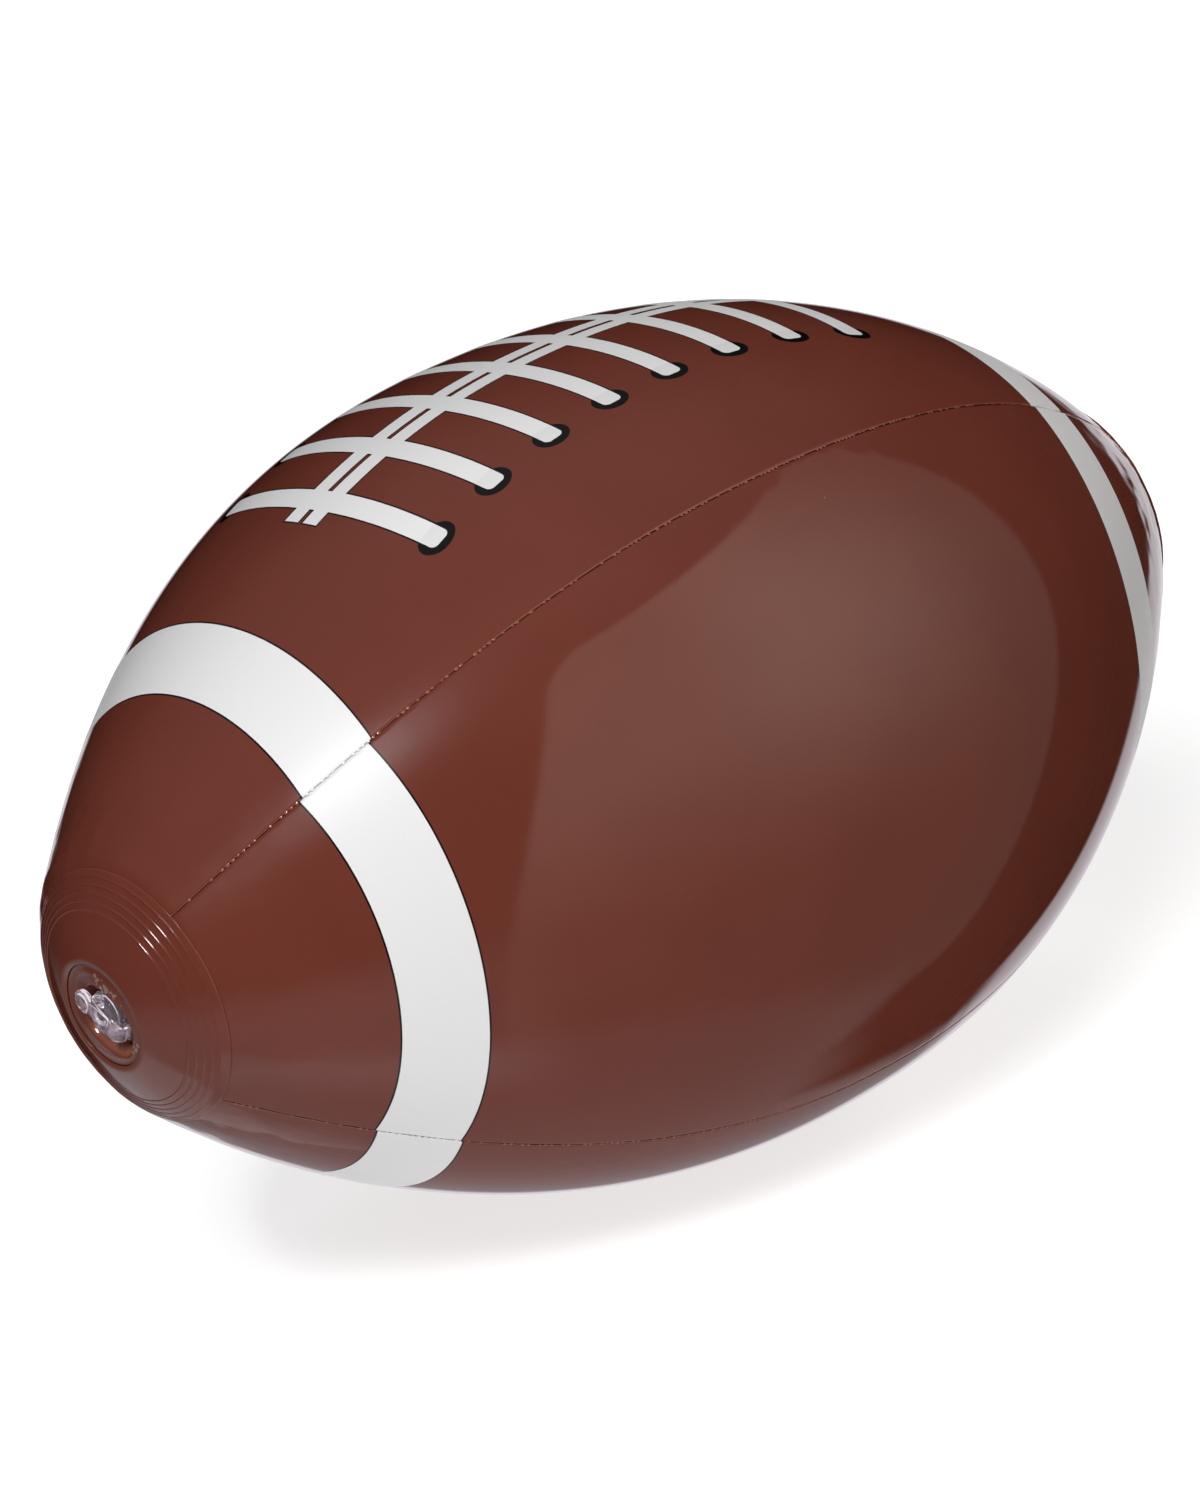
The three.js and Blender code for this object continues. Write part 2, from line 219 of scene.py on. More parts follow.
def new_tree(name, kind, inputs, outputs):
    """A tree with named inputs, each a default number or a kind of socket. Gives the tree, its inputs as
    formulas by name, and its output node."""
    tree = bpy.data.node_groups.new(name, kind + "NodeTree")
    for label, value in inputs.items():
        sort = {float: "Float", int: "Int"}.get(type(value), value)
        made = tree.interface.new_socket(label, in_out="INPUT", socket_type="NodeSocket" + sort)
        if sort != value:
            made.default_value = value
    sort = "Float" if kind == "Shader" else "Geometry"
    for label in outputs:
        tree.interface.new_socket(label, in_out="OUTPUT", socket_type="NodeSocket" + sort)
    given = tree.nodes.new("NodeGroupInput")
    made = tree.nodes.new("NodeGroupOutput")
    sockets = {socket.name: Formula(tree, socket) for socket in given.outputs if socket.name}
    return tree, sockets, made


print("formula helper ready")

# %% [markdown]
# ## Print and film as shader groups
# The ball is printed before it is cut: one white stripe near each end, with a hairline of black along
# both edges, and on one panel a row of laces. A print is sharp at any distance, so it is not painted in
# pixels. Each panel carries its own flat coordinates as attributes, and a group works out how far a point
# is from the edge of a printed shape. Below zero is inside.

# %% Stripe group
PRINT_CENTRE = -0.0022
STRIPE_MIDDLE = 0.11065
STRIPE_HALF = 0.00795
STRIPE_LINE = 0.00036
INK_LINE = 0.00042
SHARPNESS = 0.00006


def inside(distance, limit=0.0):
    """1 where a distance is under the limit, with an edge as sharp as print."""
    return 1 - distance.smooth(limit - SHARPNESS, limit + SHARPNESS)


inputs = {"Axial": 0.0, "Share": 0.0, "Bow": 0.002}
tree, given, made = new_tree("Stripe Print", "Shader", inputs, ["White", "Ink"])
along = abs(given["Axial"] - PRINT_CENTRE) - given["Bow"] * given["Share"] * given["Share"]
stripe = abs(along - STRIPE_MIDDLE) - STRIPE_HALF
give(tree, made, White=inside(stripe), Ink=inside(stripe, STRIPE_LINE))
stripe_group = tree
print("stripe group:", len(tree.nodes), "nodes")

# %% [markdown]
# The laces are eight bars with rounded ends over two strings, one flat white shape with a black hairline
# round all of it. Each bar ends in a black oval eyelet. A bar is found by folding the length along the
# ball into one pitch, so eight bars cost no more than one.

# %% Lace group
LACE_PITCH = 0.0194
LACE_FAN = 0.031
LACE_HALF_LENGTH = 0.0403
LACE_HALF_WIDTH = 0.00302
LACE_TAPER = 0.00034
LACE_CORNER = 0.0015
STRING_MIDDLE = 0.003375
STRING_HALF_WIDTH = 0.0025
STRING_END = 0.075
EYELET_REACH = 0.0387
EYELET_AXIAL = 0.0048
EYELET_ARC = 0.0038
TIP_SHADE_START = 0.0352
TIP_SHADE_END = 0.0356
LINE_OFFSET = -0.0003
LINE_SKEW = 0.018

inputs = {"Axial": 0.0, "Arc": 0.0}
tree, given, made = new_tree("Lace Print", "Shader", inputs, ["White", "Ink", "Tip Shade"])
across = abs(given["Arc"] - given["Axial"] * LINE_SKEW - LINE_OFFSET)
along = given["Axial"] - PRINT_CENTRE
reach = (across / LACE_HALF_LENGTH).least(1.0)
pitch = LACE_PITCH * (1 - LACE_FAN * reach * reach)
turns = along / pitch
nearest = turns.by("FLOOR").most(-4.0).least(3.0)
beside = abs((turns - nearest - 0.5) * pitch)
half_width = LACE_HALF_WIDTH - LACE_TAPER * reach
out_x = (beside - half_width + LACE_CORNER).most(0.0)
out_y = (across - LACE_HALF_LENGTH + LACE_CORNER).most(0.0)
deep = (beside - half_width).most(across - LACE_HALF_LENGTH).least(-LACE_CORNER)
lace = out_x.hypot(out_y) + deep
string = (abs(across - STRING_MIDDLE) - STRING_HALF_WIDTH).most(abs(along) - STRING_END)
laced = lace.least(string)
oval_x = beside / EYELET_AXIAL
oval_y = (across - EYELET_REACH) / EYELET_ARC
eyelet = (oval_x.hypot(oval_y) - 1.0) * EYELET_ARC
inked = inside(laced.least(eyelet + INK_LINE), INK_LINE)
shade = across.smooth(TIP_SHADE_START, TIP_SHADE_END)
give(tree, made, White=inside(laced), Ink=inked, Tip__Shade=shade)
lace_group = tree
print("lace group:", len(tree.nodes), "nodes")

# %% [markdown]
# Soft film is glossy but never perfect: it clouds faintly, its skin has a fine orange peel that breaks up
# a lamp's reflection, and it picks up dust. This group gives those as values for every material to use.

# %% Film surface group
SPECK_SMALL = 0.00004
SPECK_RANGE = 0.00011
SPECK_BLUR = 0.00003
SPECK_CHANCE = 0.14

inputs = {"Cloud Size": 0.03, "Peel Size": 0.0012, "Dust Spacing": 0.011, "Gloss": 0.06, "Gloss Change": 0.02}
tree, given, made = new_tree("Film Surface", "Shader", inputs, ["Cloud", "Roughness", "Peel", "Dust"])
place = node(tree, "ShaderNodeTexCoord").outputs["Object"]
cloud = noise(tree, place, given["Cloud Size"] ** -1.0, 3.0)
fine = noise(tree, place, given["Peel Size"] ** -1.0, 2.0)
cells = node(tree, "ShaderNodeTexVoronoi", Vector=place, Scale=given["Dust Spacing"] ** -1.0)
speck = Formula(tree, cells.outputs["Distance"]) * given["Dust Spacing"]
chance = node(tree, "ShaderNodeSeparateColor", Color=cells.outputs["Color"])
pick = Formula(tree, chance.outputs["Red"]).by("GREATER_THAN", 1 - SPECK_CHANCE)
size = Formula(tree, chance.outputs["Green"]) * SPECK_RANGE + SPECK_SMALL
dust = (1 - (speck - size).smooth(-SPECK_BLUR, SPECK_BLUR)) * pick
polish = given["Gloss"] + given["Gloss Change"] * cloud
give(tree, made, Cloud=cloud + 0.5, Roughness=polish, Peel=fine, Dust=dust)
film_group = tree
print("film group:", len(tree.nodes), "nodes")

# %% [markdown]
# ## The film's materials
# The brown is the colour of the film itself, so it clouds slightly. Ink lies over it and white over ink.
# The cut edge of a panel is thin and lets light through; that light is painted into the colour as a paler,
# redder line.
# A hot weld leaves the film smoother than it was, so welded rings are given a higher polish, and white
# ink dries duller than bare film.

# %% Film material
BROWN_DARK = (0.145, 0.0352, 0.0224, 1.0)
BROWN_LIGHT = (0.156, 0.0382, 0.0243, 1.0)
INK = (0.0045, 0.0036, 0.0036, 1.0)
WHITE = (0.84, 0.84, 0.845, 1.0)
WHITE_SHADED = (0.78, 0.78, 0.79, 1.0)
CUT_EDGE_GLOW = (0.34, 0.115, 0.068, 1.0)
DUST_AND_GLINT = (0.55, 0.42, 0.37, 1.0)
EDGE_GLOW = 0.0002
EDGE_SHARE = 0.6
DISC_EDGE_SHARE = 0.2
PEEL_HEIGHT = 0.0000006
FILM_GLOSS = 0.06
FILM_IOR = 1.52
WELD_POLISH = 0.02
PRINT_MATT = 0.3


def mix(tree, amount, first, second):
    made = node(tree, "ShaderNodeMix", {"data_type": "RGBA"})
    for socket, value in ((0, amount), (6, first), (7, second)):
        feed(tree, made.inputs[socket], value)
    return made.outputs[2]


def group(tree, source, **inputs):
    made = node(tree, "ShaderNodeGroup", {"node_tree": source}, **inputs)
    return {socket.name: Formula(tree, socket) for socket in made.outputs}


def attribute(tree, name):
    return Formula(tree, node(tree, "ShaderNodeAttribute", {"attribute_name": name}).outputs["Fac"])


def start_material(name):
    material = bpy.data.materials.new(name)
    material.use_nodes = True
    tree = material.node_tree
    tree.nodes.clear()
    shader = tree.nodes.new("ShaderNodeBsdfPrincipled")
    node(tree, "ShaderNodeOutputMaterial", Surface=shader.outputs["BSDF"])
    return material, tree, shader


def finish_film(tree, shader, colour, roughness, peel, height, ior):
    """Gives a shader its colour, its polish and an orange peel of some height."""
    bump = node(tree, "ShaderNodeBump", Strength=1.0, Distance=height, Height=peel)
    give(tree, shader, Base__Color=colour, Roughness=roughness, Normal=bump.outputs["Normal"], IOR=ior)


def film_material(name, bow=None, laced=False, dipped=False, welded=False, pale=0.0, gloss=FILM_GLOSS):
    material, tree, shader = start_material(name)
    film = group(tree, film_group, Gloss=gloss)
    roughness = film["Roughness"]
    colour = mix(tree, film["Cloud"].smooth(0.3, 0.7), BROWN_DARK, BROWN_LIGHT)
    # Painted highlight: a paler, redder line along each cut edge stands in for light through and off the
    # edge.
    rim = 1 - attribute(tree, "edge").smooth(EDGE_GLOW * 0.4, EDGE_GLOW)
    colour = mix(tree, rim * (DISC_EDGE_SHARE if welded else EDGE_SHARE), colour, CUT_EDGE_GLOW)
    if dipped:
        # Painted glow: the well's slack wall is tinted paler and redder for light shining through the film
        # there.
        colour = mix(tree, attribute(tree, "wall") * 0.8, colour, CUT_EDGE_GLOW)
    if bow is not None:
        share = attribute(tree, "share")
        stripe = group(tree, stripe_group, Axial=attribute(tree, "axial"), Share=share, Bow=bow)
        colour = mix(tree, stripe["Ink"], colour, INK)
        colour = mix(tree, stripe["White"], colour, WHITE)
        roughness = roughness + stripe["White"] * PRINT_MATT
    if laced:
        lacing = group(tree, lace_group, Axial=attribute(tree, "axial"), Arc=attribute(tree, "arc"))
        colour = mix(tree, lacing["Ink"], colour, INK)
        white = mix(tree, lacing["Tip Shade"], WHITE, WHITE_SHADED)
        colour = mix(tree, lacing["White"], colour, white)
        roughness = roughness + lacing["White"] * PRINT_MATT
    # Dust specks are the film's own colour. The pale share partly gives blisters their own paler film and
    # partly paints a highlight on them.
    colour = mix(tree, film["Dust"] * 0.6 + pale, colour, DUST_AND_GLINT)
    if welded:
        roughness = roughness - attribute(tree, "ring") * WELD_POLISH
    finish_film(tree, shader, colour, roughness, film["Peel"], PEEL_HEIGHT, FILM_IOR)
    print(name, len(tree.nodes), "nodes")
    return material


lace_film = film_material("laced_film", bow=0.0012, laced=True)
side_film = film_material("striped_film", bow=0.0024)
base_film = film_material("striped_base_film", bow=0.0021)
disc_film = film_material("plain_film", welded=True)
well_film = film_material("well_film", dipped=True)
# The blisters' pale tint is partly their own paler film and partly a painted highlight that stands in for
# glints.
blister_film = film_material("blister_film", pale=0.3, gloss=0.05)

# %% [markdown]
# ## The four panels
# A panel is a flat leaf of film, bent two ways at once by the air. A grid of points is enough to make it
# if each point is sent to its place by the ball's rule, which is what Geometry Nodes do here. Two panels
# lap over their neighbours and two step down under them, and the same tree makes both kinds. It also adds
# a slow ripple, puckers along the welds, and the crinkles that gather round the end discs.

# %% Panel tree
PANEL_ROWS = 270
PANEL_COLUMNS = 160
BODY_SHARE = 0.94
SEAM = math.pi / 4
CRINKLES = {"Far Crinkle": 0.0009, "Near Crinkle": 0.0006}
FAR_RUN = (0.112, 0.148)
NEAR_RUN = (0.118, 0.148)
VALVE_RUN = (0.02, 0.155)
PRESS_RUN = 0.0005
PUCKER_REACH = 0.007

ball = {"Belly Radius": BELLY_RADIUS, "Tip Reach": TIP_REACH, "Meridian Power": MERIDIAN_POWER}
seam = {"Seam Rise": SEAM_RISE, "Lap Past Seam": LAP / 2, "Lap At Valve": 0.0, "Tuck Depth": 0.0}
leaf = {"Edge Press": 0.0, "Quarter Turn": 0.0, "Ceiling": 1.0, "Ripple": 0.00022, "Pucker": 0.00014}
grain = {"Rows": PANEL_ROWS, "Columns": PANEL_COLUMNS, "Film": "Material"}
inputs = ball | seam | leaf | CRINKLES | grain
tree, given, made = new_tree("Blown Panel", "Geometry", inputs, ["Geometry"])


def crinkle(tree, x, y, z, given):
    """Folds that run towards an end disc, stronger at the far end."""
    strength = x.smooth(*FAR_RUN) * given["Far Crinkle"]
    strength = strength + (-x).smooth(*NEAR_RUN) * given["Near Crinkle"]
    return strength * noise(tree, spot(tree, x * 40.0, y * 95.0, z * 95.0), 1.0, 3.5)


def keep(tree, mesh, **values):
    """Stores values on a mesh's points as attributes."""
    for name, value in values.items():
        stored = node(tree, "GeometryNodeStoreNamedAttribute", {"data_type": "FLOAT", "domain": "POINT"})
        give(tree, stored, Geometry=mesh, Name=name, Value=value)
        mesh = stored.outputs["Geometry"]
    return mesh


def dress(tree, made, mesh, film):
    """Ends a tree with plain, smooth geometry in its film."""
    real = node(tree, "GeometryNodeRealizeInstances", Geometry=mesh)
    smooth = node(tree, "GeometryNodeSetShadeSmooth", Geometry=real.outputs["Geometry"])
    dressed = node(tree, "GeometryNodeSetMaterial", Geometry=smooth.outputs["Geometry"], Material=film)
    give(tree, made, Geometry=dressed.outputs["Geometry"])


grid = node(tree, "GeometryNodeMeshGrid", Size__X=2.0, Size__Y=2.0)
give(tree, grid, Vertices__X=given["Columns"], Vertices__Y=given["Rows"])
u, v, _ = here(tree)
v = -v

body = (v / BODY_SHARE).most(-1.0).least(1.0) * rim_reach
under = ((abs(v) - BODY_SHARE) / (1 - BODY_SHARE)).most(0.0) * WELD_BAND
share_out = abs(body) / given["Tip Reach"]
radius = given["Belly Radius"] * (1 - share_out ** given["Meridian Power"]) - under
tip_radius = DISC_RADIUS - under
rise = (dome_radius**2 - tip_radius * tip_radius).root() - (dome_radius - DOME_RISE)
axial = body + v.by("SIGN") * rise
steepness = given["Belly Radius"] * given["Meridian Power"] / given["Tip Reach"]
slope = v.by("SIGN") * steepness * share_out ** (given["Meridian Power"] - 1.0)
slant = (slope * slope + 1.0).root()

share = u * 1.5 - u * u * u * 0.5
to_valve = (-body).smooth(*VALVE_RUN)
lap = given["Lap Past Seam"] + given["Lap At Valve"] * to_valve
angle = share * (SEAM + lap / radius)
to_seam = (SEAM - abs(angle)) * radius
to_edge = to_seam + lap
turn_sine = given["Quarter Turn"].by("SINE")
turn_cosine = given["Quarter Turn"].by("COSINE")
upper_side = (u * turn_sine).by("GREATER_THAN", 0.0)
foot = (to_valve * VALVE_LAP + (UPPER_LAP - LOWER_LAP)) * upper_side + (LOWER_LAP + GAP / 2)
sunk = (1 - to_seam.smooth(foot, foot + JOGGLE)) * given["Tuck Depth"]
sunk = sunk + (1 - to_edge.smooth(0.0, PRESS_RUN)) * given["Edge Press"]

around = angle - given["Quarter Turn"]
plain_y = radius * around.by("SINE")
plain_z = radius * around.by("COSINE")
ripple = noise(tree, spot(tree, axial * 11.0, plain_y * 17.0, plain_z * 17.0), 1.0, 1.0) * given["Ripple"]
near_seam = (-(to_seam / PUCKER_REACH) * (to_seam / PUCKER_REACH)).by("EXPONENT")
pucker = noise(tree, spot(tree, axial * 230.0, plain_y * 45.0, plain_z * 45.0), 1.0, 2.0)
lift = ripple + pucker * near_seam * given["Pucker"]
lift = lift + crinkle(tree, axial, plain_y, plain_z, given) - sunk

swell = (1 - (axial / rim_reach) * (axial / rim_reach)).most(0.0)
corners = given["Seam Rise"] * swell * swell * (angle * 4.0).by("COSINE")
reach = radius + lift / slant - corners
height = (reach * angle.by("COSINE")).least(given["Ceiling"])
sideways = reach * angle.by("SINE")
place = spot(
    tree,
    axial + lift * slope / slant,
    sideways * turn_cosine - height * turn_sine,
    sideways * turn_sine + height * turn_cosine + axis_height,
)

printed = {"axial": axial, "arc": angle * radius, "share": angle / SEAM}
leaf = keep(tree, grid.outputs["Mesh"], edge=to_edge, lean=slope, **printed)
bent = node(tree, "GeometryNodeSetPosition", Geometry=leaf, Position=place)
dress(tree, made, bent.outputs["Geometry"], given["Film"])
panel_tree = tree
print("panel tree:", len(tree.nodes), "nodes")

# %% [markdown]
# A tree's result lives only in its modifier. To make it a plain mesh, the inputs are set first, by each
# socket's identifier, then Solidify gives the leaf the film's thickness, and the evaluated object is
# turned into a mesh of its own.

# %% Panels
def settle(obj):
    """Puts the evaluated mesh in place of the modifiers."""
    depsgraph = bpy.context.evaluated_depsgraph_get()
    mesh = bpy.data.meshes.new_from_object(obj.evaluated_get(depsgraph), depsgraph=depsgraph)
    obj.modifiers.clear()
    obj.data = mesh
    mesh.name = obj.name


def add_tree(obj, tree, **values):
    """Puts a tree on an object and sets its named inputs."""
    growing = obj.modifiers.new(tree.name, "NODES")
    growing.node_group = tree
    for item in tree.interface.items_tree:
        key = item.name.replace(" ", "_")
        if item.in_out == "INPUT" and key in values:
            growing[item.identifier] = values[key]


def grow(name, tree, thickness, **values):
    """A piece made by a tree and thickened inwards."""
    obj = add_object(name, bpy.data.meshes.new(name))
    add_tree(obj, tree, **values)
    wall = obj.modifiers.new("wall", "SOLIDIFY")
    wall.thickness = thickness
    wall.offset = -1
    wall.use_even_offset = True
    settle(obj)
    print(name, len(obj.data.vertices), "points")
    return obj


TUCK = FILM + GAP
PRESS = 0.0001
over_top = {"Edge_Press": PRESS, "Lap_Past_Seam": UPPER_LAP, "Lap_At_Valve": VALVE_LAP}
over_base = {"Edge_Press": PRESS, "Lap_Past_Seam": LOWER_LAP, "Quarter_Turn": math.pi}
under = {"Tuck_Depth": TUCK, "Film": side_film}
leaves = {
    "lace_panel": grow("laced_leaf", panel_tree, FILM, Film=lace_film, **over_top),
    "front_panel": grow("front_leaf", panel_tree, FILM, Quarter_Turn=math.pi / 2, **under),
    "base_panel": grow("base_leaf", panel_tree, FILM, Ceiling=axis_height, Film=base_film, **over_base),
    "back_panel": grow("back_leaf", panel_tree, FILM, Quarter_Turn=-math.pi / 2, **under),
}
SLICES = 400
leaf_length, leaf_area = 2 * WELD_BAND, 0.0
step = 2 * rim_reach / SLICES
for i in range(SLICES):
    out = abs(-rim_reach + (i + 0.5) * step) / TIP_REACH
    slope = BELLY_RADIUS * MERIDIAN_POWER / TIP_REACH * out ** (MERIDIAN_POWER - 1)
    along = step * math.hypot(1, slope)
    leaf_length += along
    leaf_area += along * (2 * SEAM * BELLY_RADIUS * (1 - out**MERIDIAN_POWER) + LAP)
leaf_area += 2 * WELD_BAND * (2 * SEAM * (DISC_RADIUS - WELD_BAND / 2) + LAP)
for node_name, leaf in leaves.items():
    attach(leaf, "ball")
    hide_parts(node_name)

# %% [markdown]
# The bar that welds two panels is knurled, and it squeezes a row of tiny beads out of the upper panel's
# edge. The panel's own tree is put on a new object, and a second tree after it keeps only the points on
# the edge and sets a bead on some of them. A bead is a flat lens, because a lens shows a lamp as a larger
# glint than a little ball does.

# %% Weld beads
BEAD_SMALL = 0.00035
BEAD_LARGE = 0.0007
BEAD_FLAT = 0.14
BEAD_CHANCE = 0.6
BEAD_SEED = 3
LENS_POINTS = 42


def draw(tree, given, low, high):
    """A random number for each point."""
    made = node(tree, "FunctionNodeRandomValue", {"data_type": "FLOAT"}, Seed=given["Seed"])
    feed(tree, made.inputs[2], low)
    feed(tree, made.inputs[3], high)
    return Formula(tree, made.outputs[1])


def sow(tree, given, made, flat, points, **where):
    """Ends a tree with a flat little lens on each point, of its own size."""
    size = draw(tree, given, given["Small"], given["Large"])
    lens = node(tree, "GeometryNodeMeshIcoSphere", Radius=1.0, Subdivisions=2).outputs["Mesh"]
    shape = spot(tree, size, size, size * flat)
    sown = node(tree, "GeometryNodeInstanceOnPoints", Points=points, Instance=lens, Scale=shape, **where)
    dress(tree, made, sown.outputs[0], given["Film"])


sizes = {"Geometry": "Geometry", "Small": BEAD_SMALL, "Large": BEAD_LARGE}
inputs = sizes | {"Chance": BEAD_CHANCE, "Reach": rim_reach, "Seed": BEAD_SEED, "Film": "Material"}
tree, given, made = new_tree("Weld Beads", "Geometry", inputs, ["Geometry"])
read = "GeometryNodeInputNamedAttribute"
stored = [node(tree, read, {"data_type": "FLOAT"}, Name=name) for name in ("edge", "axial", "lean")]
edge, axial, lean = (Formula(tree, made_by.outputs["Attribute"]) for made_by in stored)
lucky = draw(tree, given, 0.0, 1.0).by("LESS_THAN", given["Chance"])
on_edge = abs(edge).by("LESS_THAN", 1e-6) * abs(axial).by("LESS_THAN", given["Reach"]) * lucky
_, y, z = here(tree)
z = z - axis_height
facing = spot(tree, lean * y.hypot(z), y, z)
lying = node(tree, "FunctionNodeAlignRotationToVector", {"axis": "Z"}, Vector=facing)
sow(tree, given, made, BEAD_FLAT, given["Geometry"], Selection=on_edge, Rotation=lying.outputs[0])
bead_tree = tree

for name, node_name, film, lapping in (
    ("laced_leaf_beads", "lace_panel", lace_film, over_top),
    ("base_leaf_beads", "base_panel", base_film, over_base),
):
    row = add_object(name, bpy.data.meshes.new(name))
    add_tree(row, panel_tree, **lapping)
    add_tree(row, bead_tree, Film=film)
    settle(row)
    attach(row, "ball")
    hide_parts(node_name)
    print(name, len(row.data.vertices) // LENS_POINTS, "beads")

# %% [markdown]
# ## Discs, well and skirt
# A round disc is welded over the panel tips at each end by a set of rings. At the valve end the film dips
# into a well round the valve, a little below the disc's middle, and a soft clear skirt backs the well from
# inside. All are turned shapes, so one tree makes them: a grid whose columns are angles and whose rows run
# from an inner to an outer circle. The circles need not share a middle.

# %% Turned film tree
DISC_SIDES = 240
RING_COUNT = 5
RING_PITCH = 0.0015
RING_INSET = 0.0013
RING_WIDTH = 0.00062
RING_HEIGHT = 0.00012
RING_GAIN = 0.09
FIRM_WAY = (-0.71, 0.705)
FIRM_GAIN = 1.0
WELL_EDGE = 0.0126
DISH_DEPTH = 0.001
DISH_START = 0.0095
DISH_END = 0.0145
WALL_STRETCH = 0.0033
WALL_FOOT = 0.0056
WALL_TOP = 0.0076
WALL_SLACK = 0.001
TRAY_REACH = 0.0055
TRAY_FOOT = 0.0031
TRAY_TOP = 0.0095
TRAY_DEPTH = 0.0008

LIP_RUN = (WELL_EDGE - 0.0024, WELL_EDGE - 0.0003)
LAP_RUN = (WELL_EDGE - 0.0002, WELL_EDGE + 0.0001)
EDGE_RUN = 0.001
HOLE_RUN = 0.0014
SLACK_RUN = 0.006
FIRM_RUN = (0.88, 0.97)
UNEVEN = 0.3
UNEVEN_ALONG = 130.0
UNEVEN_ACROSS = 900.0

plain = ["Inner Radius", "Inner Drop", "Outer Drop", "Outer Side", "Dip", "Sink", "Lip Sink", "Lap Sink"]
plain += ["Ring Height", "Edge Press", "Hole Press"]
inputs = {"Outer Radius": DISC_RADIUS, "End": 1.0, "Rows": 120, "Film": "Material"}
inputs |= dict.fromkeys(plain, 0.0) | CRINKLES
tree, given, made = new_tree("Turned Film", "Geometry", inputs, ["Geometry"])
grid = node(tree, "GeometryNodeMeshGrid", Size__X=2.0, Size__Y=2.0)
give(tree, grid, Vertices__X=DISC_SIDES + 1, Vertices__Y=given["Rows"])
bearing, run, _ = here(tree)
bearing = bearing * math.pi * given["End"]
run = run * 0.5 + 0.5
radius = given["Inner Radius"] + (given["Outer Radius"] - given["Inner Radius"]) * run
y = radius * bearing.by("SINE") + given["Outer Side"] * run
z = radius * bearing.by("COSINE") - given["Inner Drop"] - (given["Outer Drop"] - given["Inner Drop"]) * run
from_axis = y.hypot(z)
over = z + VALVE_DROP
from_valve = y.hypot(over)
along_tab = y * math.cos(TAB_TURN) + over * math.sin(TAB_TURN)
beside_tab = y * math.sin(TAB_TURN) - over * math.cos(TAB_TURN)
past = (-along_tab - WALL_STRETCH).most(along_tab).most(0.0)
from_plug = past.hypot(beside_tab)
past = (along_tab - TRAY_REACH).most(-along_tab).most(0.0)
from_tab = past.hypot(beside_tab)

dome = (dome_radius**2 - from_axis * from_axis).root() - (dome_radius - DOME_RISE) + disc_base
cone = (1 - from_axis / BELLY_RADIUS) ** (1 / MERIDIAN_POWER) * TIP_REACH + (GAP + FILM)
dome = dome.least(cone)
dish = (1 - from_valve.smooth(DISH_START, DISH_END)) * given["Dip"] * DISH_DEPTH
slack_side = beside_tab.smooth(0.0, SLACK_RUN)
sunk_share = (1 - from_plug.smooth(WALL_FOOT, WALL_TOP + WALL_SLACK * slack_side)) * given["Dip"]
tray = (1 - from_tab.smooth(TRAY_FOOT, TRAY_TOP)) * given["Dip"] * TRAY_DEPTH
level = dome - dish - tray
level = level + (well_floor - level) * sunk_share
sunk = given["Sink"] + given["Lip Sink"] * from_valve.smooth(*LIP_RUN)
sunk = sunk + given["Lap Sink"] * from_valve.smooth(*LAP_RUN)
sunk = sunk + given["Edge Press"] * (radius - given["Outer Radius"]).smooth(-EDGE_RUN, 0.0)
sunk = sunk + given["Hole Press"] * (1 - (radius - given["Inner Radius"]).smooth(0.0, HOLE_RUN))

ring_place = (given["Outer Radius"] - RING_INSET - radius) / RING_PITCH
nearest = ring_place.by("ROUND").most(0.0).least(RING_COUNT - 1.0)
ring = (ring_place - nearest) * (2 * RING_PITCH / RING_WIDTH)
bump = (1 - ring * ring).most(0.0)
grain = spot(tree, from_axis * UNEVEN_ACROSS, y * UNEVEN_ALONG, z * UNEVEN_ALONG)
uneven = noise(tree, grain, 1.0, 2.0) * UNEVEN + 1.0
firm = ((y * FIRM_WAY[0] + z * FIRM_WAY[1]) / from_axis.most(WELL_EDGE)).smooth(*FIRM_RUN)
uneven = uneven * (firm * FIRM_GAIN + 1.0)
rings = bump * bump * uneven * (nearest * RING_GAIN + 1.0) * given["Ring Height"]
folds = crinkle(tree, dome * given["End"], y, z, given)
folds = folds * from_axis.smooth(DISC_RADIUS * 0.45, DISC_RADIUS)
place = spot(tree, (level + rings + folds - sunk) * given["End"], y, z + axis_height)

# This mask marks the well's slack wall, where the film material paints a glow of light through the film.
wall = sunk_share * (1 - sunk_share) * 4.0 * slack_side
leaf = keep(tree, grid.outputs["Mesh"], edge=given["Outer Radius"] - radius, wall=wall, ring=bump)
bent = node(tree, "GeometryNodeSetPosition", Geometry=leaf, Position=place)
closed = node(tree, "GeometryNodeMergeByDistance", Geometry=bent.outputs["Geometry"], Distance=1e-6)
dress(tree, made, closed.outputs["Geometry"], given["Film"])
turned_tree = tree
print("turned film tree:", len(tree.nodes), "nodes")

# %% End discs
HOLE_PRESS = 0.0001
VALVE_DISC_RADIUS = 0.0309
SLID_DOWN = 0.001
SLID_SIDE = -0.003
DISC_ROWS = 190

